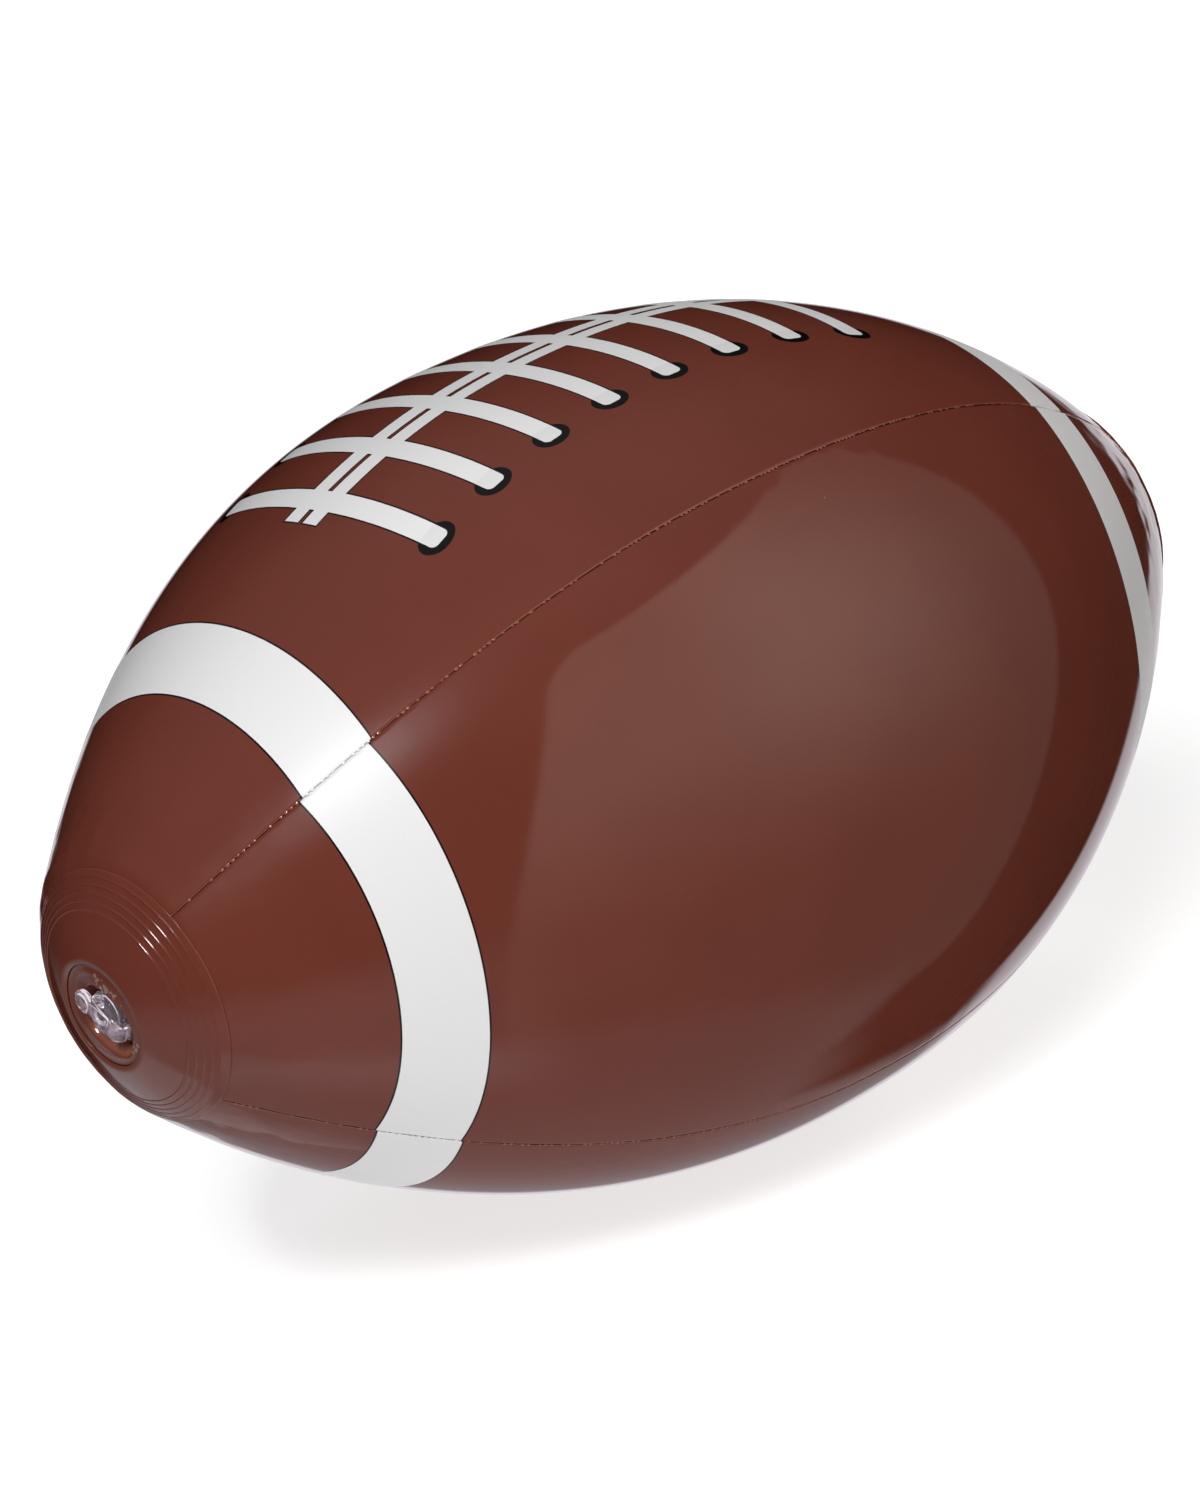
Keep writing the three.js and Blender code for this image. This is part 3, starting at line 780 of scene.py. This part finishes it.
welded = {"Ring_Height": RING_HEIGHT, "Edge_Press": PRESS, "Rows": DISC_ROWS, "Film": disc_film}
slid = {"Outer_Radius": VALVE_DISC_RADIUS, "Outer_Drop": SLID_DOWN, "Outer_Side": SLID_SIDE}
round_valve = {"Inner_Drop": VALVE_DROP, "End": -1.0, "Dip": 1.0}
hole = {"Inner_Radius": WELL_EDGE, "Hole_Press": HOLE_PRESS}
valve_disc = grow("valve_disc", turned_tree, FILM, **round_valve, **hole, **slid, **welded)
far_disc = grow("far_disc", turned_tree, FILM, **welded)
for disc, node_name, cut_radius, hole in (
    (valve_disc, "valve_end_disc", VALVE_DISC_RADIUS, WELL_EDGE),
    (far_disc, "far_end_disc", DISC_RADIUS, 0.0),
):
    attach(disc, "ball")
    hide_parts(node_name)
    across = 2 * cut_radius

# %% [markdown]
# The well is pushed in and pulled out with the valve. Here it is one piece of turned film, in its place at
# rest, that runs from its lip under the valve disc down to its floor round the valve.

# %% Well
LIP_TUCK = 0.00036
LAP_TUCK = 0.00025
BORE_EDGE = 0.0049
WELL_LAP = 0.0008
WELL_ROWS = 110

round_valve |= {"Inner_Radius": BORE_EDGE, "Outer_Drop": VALVE_DROP}
tucked = {"Lip_Sink": LIP_TUCK, "Lap_Sink": LAP_TUCK, "Rows": WELL_ROWS, "Film": well_film}
well = grow("well_film", turned_tree, FILM, Outer_Radius=WELL_EDGE + WELL_LAP, **round_valve, **tucked)
lean = VALVE_DROP / dome_radius


def follow_valve(piece, node_name):
    """Bakes a piece's place into its mesh and hides the frame part that it stands for."""
    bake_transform(piece)
    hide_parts(node_name)


follow_valve(well, "valve_well")

# %% [markdown]
# Where the film was pressed hot onto the valve, steam has left tiny blisters, in one bunch beyond the
# plug's strap and a looser one beside the plug. Geometry Nodes scatter them: points are strewn over the
# well, most thickly where a mask says so, and each gets a flat lens that is half sunk in the film.

# %% Weld blisters
BLISTER_COUNT = 1.8e6
BLISTER_SMALL = 0.0002
BLISTER_LARGE = 0.0006
BLISTER_FLAT = 0.18
BLISTER_SEED = 5
BUNCHES = (((-0.0106, 0.0009), (0.0014, 0.002)), ((-0.0005, -0.0087), (0.0036, 0.0011)))

BLISTER_FACING = 0.4

sizes = {"Geometry": "Geometry", "Small": BLISTER_SMALL, "Large": BLISTER_LARGE}
inputs = sizes | {"Count": BLISTER_COUNT, "Seed": BLISTER_SEED, "Film": "Material"}
tree, given, made = new_tree("Weld Blisters", "Geometry", inputs, ["Geometry"])
_, y, z = here(tree)
over = z - valve_middle.z
along_tab = y * math.cos(TAB_TURN) + over * math.sin(TAB_TURN)
beside_tab = y * math.sin(TAB_TURN) - over * math.cos(TAB_TURN)
mask = 0.0
for (along, beside), (length, width) in BUNCHES:
    off_along = (along_tab - along) / length
    off_beside = (beside_tab - beside) / width
    mask = (-(off_along * off_along + off_beside * off_beside)).by("EXPONENT") + mask
inwards = split(tree, node(tree, "GeometryNodeInputNormal").outputs[0])[0]
outside = (-inwards).by("GREATER_THAN", BLISTER_FACING)
strewn = node(tree, "GeometryNodeDistributePointsOnFaces", {"distribute_method": "RANDOM"})
give(tree, strewn, Mesh=given["Geometry"], Density=mask * outside * given["Count"], Seed=given["Seed"])
sow(tree, given, made, BLISTER_FLAT, strewn.outputs["Points"], Rotation=strewn.outputs["Rotation"])

blisters = add_object("weld_blisters", well.data.copy())
add_tree(blisters, tree, Film=blister_film)
settle(blisters)
follow_valve(blisters, "valve_well")
print("blisters:", len(blisters.data.vertices) // LENS_POINTS)

# %% [markdown]
# ## The clear valve
# The neck, plug, strap and flap are moulded in one soft clear plastic with a lilac cast. Moulded pieces
# have no sharp corners. A quick way to that look is to build a piece from plain turned and cut shapes,
# remesh them into one skin of tiny cells, and then relax it. All are built upright, on a Z axis that
# points out of the ball, and turned into place after.

# %% Clear material
LILAC = (0.9, 0.81, 0.89, 1.0)
LILAC_DEEP = (0.8, 0.69, 0.78, 1.0)
CLEAR_PEEL = 0.000015
CLEAR_IOR = 1.5
CLEARNESS = 0.92

clear_vinyl, tree, shader = start_material("clear_vinyl")
film = group(tree, film_group, Cloud__Size=0.004, Peel__Size=0.0015, Gloss=0.04, Gloss__Change=0.04)
colour = mix(tree, film["Cloud"].smooth(0.3, 0.7), LILAC_DEEP, LILAC)
finish_film(tree, shader, colour, film["Roughness"], film["Peel"], CLEAR_PEEL, CLEAR_IOR)
shader.inputs["Transmission Weight"].default_value = CLEARNESS
print("clear material:", len(tree.nodes), "nodes")

# %% [markdown]
# The skirt is the soft flange by which the valve is welded to the film. It could be moulded with the neck,
# but it has to stretch when the valve is pulled out, so it is turned film like the well.

# %% Skirt
SKIRT = 0.0006
SKIRT_LAND = 0.002
SKIRT_TUCK = 0.0003
SKIRT_ROWS = 50

skirt_sink = FILM + GAP
backing = {"Sink": skirt_sink, "Lip_Sink": SKIRT_TUCK, "Rows": SKIRT_ROWS, "Film": clear_vinyl}
backing |= {"Outer_Radius": WELL_RADIUS + SKIRT_LAND} | round_valve
skirt = grow("skirt_film", turned_tree, SKIRT, **backing)
follow_valve(skirt, "valve_skirt")

# %% Moulded pieces
import bmesh

SIDES = 72
tab_way = Vector((0, math.cos(TAB_TURN), math.sin(TAB_TURN)))
out_way = Vector((-1, 0, 0))
valve_frame = Matrix((tab_way, out_way.cross(tab_way), out_way)).transposed().to_4x4()
valve_frame.translation = valve_middle


def arc(x, y, radius, angles):
    """Points on a circle."""
    return [(x + radius * math.cos(a), y + radius * math.sin(a)) for a in angles]


def turned(shape, outline, sides=SIDES):
    """Adds a turned solid to a bmesh, from (radius, height) points that start and end on the axis or
    else run round a section."""
    rings = []
    angles = [2 * math.pi * i / sides for i in range(sides)]
    for radius, height in outline:
        points = arc(0, 0, radius, angles) if radius > 0 else [(0, 0)]
        rings.append([shape.verts.new((x, y, height)) for x, y in points])
    pairs = list(zip(rings, rings[1:]))
    if outline[0][0] > 0:
        pairs.append((rings[-1], rings[0]))
    for low, high in pairs:
        for i in range(sides):
            j = i + 1
            corners = [low[i % len(low)], low[j % len(low)], high[j % len(high)], high[i % len(high)]]
            unique = list(dict.fromkeys(corners))
            if len(unique) > 2:
                shape.faces.new(unique)


def cut_out(shape, outline, low, high):
    """Adds a plate to a bmesh: a flat outline in X and Y, from a low to a high level."""
    bottom = [shape.verts.new((x, y, low)) for x, y in outline]
    top = [shape.verts.new((x, y, high)) for x, y in outline]
    shape.faces.new(bottom[::-1])
    shape.faces.new(top)
    count = len(outline)
    for i in range(count):
        j = (i + 1) % count
        shape.faces.new((bottom[i], bottom[j], top[j], top[i]))


def moulded(name, build, cell, relax, body, node_name):
    """One relaxed skin round all that build adds, turned into the valve's place, on its body."""
    shape = bmesh.new()
    build(shape)
    bmesh.ops.recalc_face_normals(shape, faces=shape.faces)
    mesh = bpy.data.meshes.new(name)
    shape.to_mesh(mesh)
    shape.free()
    obj = add_object(name, mesh)
    skin = obj.modifiers.new("skin", "REMESH")
    skin.mode = "VOXEL"
    skin.voxel_size = cell
    skin.use_smooth_shade = True
    ease = obj.modifiers.new("ease", "SMOOTH")
    ease.iterations = relax
    ease.factor = 0.5
    settle(obj)
    obj.data.transform(valve_frame)
    obj.data.materials.clear()
    obj.data.materials.append(clear_vinyl)
    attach(obj, body)
    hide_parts(node_name)
    print(name, len(obj.data.polygons), "faces")


print("valve points out along", out_way[:], "with its tab along", [round(x, 2) for x in tab_way])

# %% [markdown]
# The neck is a tube through the well's floor, with a collar outside it that the plug sits on, a shoulder
# under the skirt, and a lug for the strap. One turned outline gives all of it but the lugs.

# %% Neck
BORE_RADIUS = 0.0034
NECK_RADIUS = 0.0046
NECK_LENGTH = 0.017
COLLAR_RADIUS = 0.0054
COLLAR_HEIGHT = 0.0018
SHOULDER_RADIUS = 0.006
SHOULDER_HEIGHT = 0.0008
STRAP = 0.0008
STRAP_WIDTH = 0.0042
LUG_HEIGHT = 0.001
LUG_REACH = 0.008
FLAP = 0.0006
FLAP_RADIUS = 0.0043
FLAP_HINGE = 0.0056
FLAP_EAR = 0.0024
FLAP_LUG = 0.0012
VALVE_CELL = 0.00014

collar_top = well_floor + GAP + COLLAR_HEIGHT
neck_end = collar_top - NECK_LENGTH
shoulder_top = well_floor - FILM - GAP - SKIRT - GAP


def block(shape, x0, x1, half_width, low, high):
    cut_out(shape, [(x0, -half_width), (x1, -half_width), (x1, half_width), (x0, half_width)], low, high)


def build_neck(shape):
    collar_foot = well_floor + GAP
    shoulder_foot = shoulder_top - SHOULDER_HEIGHT
    outline = [(BORE_RADIUS, neck_end), (NECK_RADIUS, neck_end), (NECK_RADIUS, shoulder_foot)]
    outline += [(SHOULDER_RADIUS, shoulder_top), (NECK_RADIUS, shoulder_top), (NECK_RADIUS, collar_foot)]
    outline += [(COLLAR_RADIUS, collar_foot), (COLLAR_RADIUS, collar_top), (BORE_RADIUS, collar_top)]
    turned(shape, outline)
    root = -(BORE_RADIUS + NECK_RADIUS) / 2
    block(shape, -LUG_REACH, root, STRAP_WIDTH / 2, collar_top - LUG_HEIGHT, collar_top)
    block(shape, -FLAP_HINGE - FLAP, root, FLAP_EAR / 2, neck_end, neck_end + FLAP_LUG)


moulded("neck_tube", build_neck, VALVE_CELL, 4, "valve", "valve_neck")

# %% [markdown]
# The plug is a stopper with a round head and a pull tab. Its flank could be a plain cone, but that would
# scrape the bore as it swings, so the flank is an arc about the hinge.

# %% Plug
PLUG_CLEARANCE = 0.00025
PLUG_LENGTH = 0.0045
HEAD_RADIUS = 0.0049
HEAD_HEIGHT = 0.0017
HEAD_ROUND = 0.0005
TAB_REACH = 0.0055
TAB_RADIUS = 0.0028
TAB_HALF_WIDTH = 0.0018
TAB_HEIGHT = 0.001
TAB_SINK = 0.0003
TAB_START = 0.003
TAB_RING_RADIUS = 0.0018
TAB_RING = 0.0004

plug_seat = collar_top + GAP
head_top = plug_seat + HEAD_HEIGHT
strap_loop = HEAD_HEIGHT + GAP
hinge_reach = HEAD_RADIUS + GAP + strap_loop
hinge_height = plug_seat + STRAP / 2


def build_plug(shape):
    flank = BORE_RADIUS - PLUG_CLEARANCE
    swing = math.hypot(hinge_reach + flank, hinge_height - plug_seat)
    outline = [(0, plug_seat - PLUG_LENGTH)]
    for step in range(10, -1, -1):
        depth = PLUG_LENGTH * step / 10
        out = math.sqrt(swing**2 - (hinge_height - plug_seat + depth) ** 2)
        outline.append((out - hinge_reach, plug_seat - depth))
    outline += [(HEAD_RADIUS, plug_seat), (HEAD_RADIUS, head_top - HEAD_ROUND)]
    outline += [(HEAD_RADIUS - HEAD_ROUND, head_top), (0, head_top)]
    turned(shape, outline)
    lean = math.asin(TAB_HALF_WIDTH / TAB_RADIUS)
    angles = [math.pi + lean + (2 * math.pi - 2 * lean) * step / 32 for step in range(33)]
    tab = [(-TAB_START, -TAB_HALF_WIDTH)] + arc(TAB_REACH, 0, TAB_RADIUS, angles)
    cut_out(shape, tab + [(-TAB_START, TAB_HALF_WIDTH)], head_top - TAB_SINK, head_top + TAB_HEIGHT)
    before = set(shape.verts)
    angles = [2 * math.pi * i / 16 for i in range(16)]
    turned(shape, arc(TAB_RING_RADIUS, head_top + TAB_HEIGHT, TAB_RING, angles), 48)
    for vert in set(shape.verts) - before:
        vert.co.x += TAB_REACH


moulded("plug_stopper", build_plug, VALVE_CELL, 3, "plug", "plug")

# %% [markdown]
# The strap holds the plug and is its hinge. The flap under the neck keeps the air in. Both are thin, so
# they are cut out as plates or turned, and remeshed with finer cells than the rest.

# %% Strap and flap
STRAP_LAND = 0.0016
THIN_CELL = 0.00012


def build_strap(shape):
    half = STRAP / 2
    bend = strap_loop - hinge_reach
    end = bend + STRAP_LAND
    angles = [math.pi - math.pi / 2 * i / 12 for i in range(13)]
    outer = arc(bend, hinge_height, strap_loop + half, angles)
    inner = arc(bend, hinge_height, strap_loop - half, angles)
    heel = arc(-hinge_reach, hinge_height, half, [-math.pi * i / 8 for i in range(1, 8)])
    side = outer + [(end, outer[-1][1]), (end, inner[-1][1])] + inner[::-1] + heel
    before = set(shape.verts)
    cut_out(shape, side, -STRAP_WIDTH / 2, STRAP_WIDTH / 2)
    for vert in set(shape.verts) - before:
        vert.co = Vector((vert.co.x, vert.co.z, vert.co.y))


def build_flap(shape):
    top = neck_end - GAP
    turned(shape, [(0, top - FLAP), (FLAP_RADIUS, top - FLAP), (FLAP_RADIUS, top), (0, top)])
    ear_start = FLAP_RADIUS - FLAP_EAR / 2
    block(shape, -FLAP_HINGE - FLAP / 2, -ear_start, FLAP_EAR / 2, top - FLAP, top)


moulded("plug_strap_band", build_strap, THIN_CELL, 2, "plug", "plug_strap")
moulded("flap_disc", build_flap, THIN_CELL, 2, "flap", "check_flap")

# %% [markdown]
# ## Floor and light
# The ball is photographed against plain white. The floor is a pale sheet that still takes the ball's
# shadow; to the camera alone it is lifted to white. Under the ball it glows a little, like a light table,
# and so brightens the ball's underside. A soft key lamp from the left of the camera does most of the
# lighting, a smaller one beside it gives the glints, and a third lights the far stripe.

# %% Floor
FLOOR_GREY = (0.62, 0.62, 0.62, 1.0)
WHITE_LIGHT = (1.0, 1.0, 1.0, 1.0)
FLOOR_SIZE = 12.0
FLOOR_DROP = 0.0004
FLOOR_FILL = 0.6
FILL_MIDDLE = (-0.12, -0.05)
FILL_SPREAD = 0.17
FLOOR_LIFT = 0.74
SHADOW_NEAR = 0.3
SHADOW_FAR = 0.6


def white_for(tree):
    """1 for what the camera sees, also through clear plastic, and 0 for light that falls on the ball."""
    path = node(tree, "ShaderNodeLightPath")
    return Formula(tree, path.outputs["Is Camera Ray"]).most(path.outputs["Is Transmission Ray"])


material, tree, shader = start_material("pale_floor")
give(tree, shader, Base__Color=FLOOR_GREY, Emission__Color=WHITE_LIGHT)
give(tree, shader, Roughness=1.0, Specular__IOR__Level=0.0)
seen = white_for(tree)
x, y, _ = split(tree, node(tree, "ShaderNodeTexCoord").outputs["Object"])
lift = x.hypot(y).smooth(SHADOW_NEAR, SHADOW_FAR) * (1 - FLOOR_LIFT) + FLOOR_LIFT
x, y = (x - FILL_MIDDLE[0]) / FILL_SPREAD, (y - FILL_MIDDLE[1]) / FILL_SPREAD
fill = (-(x * x + y * y)).by("EXPONENT") * FLOOR_FILL
feed(tree, shader.inputs["Emission Strength"], seen * (lift - fill) + fill)
half = FLOOR_SIZE / 2
corners = [(x, y, -FLOOR_DROP) for x, y in ((-half, -half), (half, -half), (half, half), (-half, half))]
mesh = bpy.data.meshes.new("floor")
mesh.from_pydata(corners, [], [(0, 1, 2, 3)])
mesh.materials.append(material)
floor = add_object("floor", mesh)
floor.visible_glossy = False
print("floor:", FLOOR_SIZE, "m wide")

# %% Lamps
LAMP_DISTANCE = 1.7


def lamp(name, way, size, power, glossy, along=(0, 0, 1)):
    """A soft lamp that faces the ball. Its size is its width and its length along a direction."""
    data = bpy.data.lights.new(name, "AREA")
    data.shape = "ELLIPSE"
    data.size, data.size_y = size
    data.energy = power
    obj = add_object(name, data)
    way = Vector(way).normalized()
    across = Vector(along).cross(way).normalized()
    facing = Matrix((across, way.cross(across), way)).transposed().to_4x4()
    obj.matrix_world = Matrix.Translation(middle + way * LAMP_DISTANCE) @ facing
    obj.visible_camera = False
    obj.visible_glossy = glossy


lamp("key", (-0.46, -0.47, 0.755), (0.9, 0.9), 17.0, False)
lamp("hot", (-0.615, -0.369, 0.696), (0.12, 0.4), 6.0, True, along=(0.169, 0.803, 0.572))
lamp("side", (0.96, 0.24, 0.14), (0.4, 0.4), 9.5, False)

# %% [markdown]
# Film shows what stands round it, so the rest of the studio is drawn in the world as bearings: azimuth from
# the front towards the right, and elevation. There is a tall window of light on the right with crisp edges,
# a pale floor below, a dim ceiling, the haze round the lamp, and the white wall behind, which edges the
# ball with a pale line. Between them it is dark. Only the camera sees plain white.

# %% Bearings
def rise(value, low, high):
    """A smooth rise between two bearings in degrees."""
    return value.smooth(math.radians(low), math.radians(high))


world = bpy.data.worlds.new("studio")
scene.world = world
world.use_nodes = True
tree = world.node_tree
tree.nodes.clear()
way = node(tree, "ShaderNodeTexCoord").outputs["Generated"]
x, y, z = split(tree, way)
azimuth = x.by("ARCTAN2", -y)
elevation = z.by("ARCSINE")
below = -elevation

# %% Window of light
WINDOW_LEFT = -20.6
WINDOW_LEAN = 0.158
WINDOW_RIGHT = 75.0
WINDOW_NARROW = 7.0
WINDOW_TOP = 46.0
WINDOW_CORNER = math.radians(9)
WINDOW_BLUR = math.radians(1.1)
WINDOW_DIM = 0.2
WINDOW_HOT = 1.04
HOT_MIDDLE = math.radians(30)
HOT_SPREAD = math.radians(28)
WINDOW_SIDE = 0.52

from_left = azimuth - elevation * WINDOW_LEAN - math.radians(WINDOW_LEFT)
from_right = math.radians(WINDOW_RIGHT) - rise(below, 5, 40) * math.radians(WINDOW_NARROW) - azimuth
corner_a = (WINDOW_CORNER - from_left.least(from_right)).most(0.0)
corner_b = (elevation - math.radians(WINDOW_TOP) + WINDOW_CORNER).most(0.0)
edge = WINDOW_CORNER - corner_a.hypot(corner_b)
in_window = edge.smooth(-WINDOW_BLUR, WINDOW_BLUR) * (1 - rise(below, 47, 58))
upright = rise(elevation, -28, 12) * (1 - rise(elevation, 25, 46) * 0.25)
off = (azimuth - HOT_MIDDLE) / HOT_SPREAD
hot_part = (-(off * off)).by("EXPONENT") * WINDOW_HOT + (1 - rise(azimuth, -15, 20)) * WINDOW_SIDE
window = in_window * (upright * hot_part + WINDOW_DIM)

# %% Floor, ceiling, haze and wall
FLOOR_PALE = 0.38
FLOOR_LEFT = 0.4
CEILING = 0.18
WALL = 0.9
HAZES = (((-0.55, -0.43, 0.716), 2.1, 0.0125), ((-0.743, -0.337, 0.578), 0.35, 0.02))

dark_side = rise(azimuth, 60, 78) * (1 - rise(azimuth, 105, 118))
at_back = rise(abs(azimuth), 112, 135)
start = dark_side * math.radians(10) - at_back * math.radians(20) + math.radians(46)
pale = (below - start).smooth(0.0, math.radians(12)) * FLOOR_PALE
pale = pale + rise(below, 10, 30) * (1 - rise(below, 55, 75)) * (1 - rise(azimuth, -40, -12)) * FLOOR_LEFT
ceiling = rise(elevation, 20, 72) * CEILING
haze = 0.0
for centre, strength, spread in HAZES:
    towards = node(tree, "ShaderNodeVectorMath", {"operation": "DOT_PRODUCT"})
    feed(tree, towards.inputs[0], way)
    towards.inputs[1].default_value = Vector(centre).normalized()
    off = (Formula(tree, towards.outputs["Value"]) - 1.0) / spread
    haze = off.by("EXPONENT") * strength + haze
wall_start = math.radians(119.5) - rise(below, 12, 22) * math.radians(8)
wall_foot = math.radians(42) - rise(azimuth, 120, 135) * math.radians(8)
blur = math.radians(1.5)
wall = (azimuth - wall_start).smooth(-blur, blur) * (1 - rise(azimuth, 161, 164))
wall = wall * rise(below, 6, 9) * (wall_foot - below).smooth(-2 * blur, 2 * blur) * WALL

# %% Surroundings
LILAC_LIGHT = (0.96, 0.94, 1.0, 1.0)
WARM_LIGHT = (1.0, 0.93, 0.83, 1.0)
MATT_SHARE = 0.5

matt = Formula(tree, node(tree, "ShaderNodeLightPath").outputs["Is Diffuse Ray"])
light = (window + pale + ceiling + haze + wall) * (1 - matt * (1 - MATT_SHARE))
seen = white_for(tree)
tint = mix(tree, seen, mix(tree, in_window, LILAC_LIGHT, WARM_LIGHT), WHITE_LIGHT)
sky = node(tree, "ShaderNodeBackground", Color=tint, Strength=seen * (1 - light) + light)
node(tree, "ShaderNodeOutputWorld", Surface=sky.outputs[0])
print("world:", len(tree.nodes), "nodes")
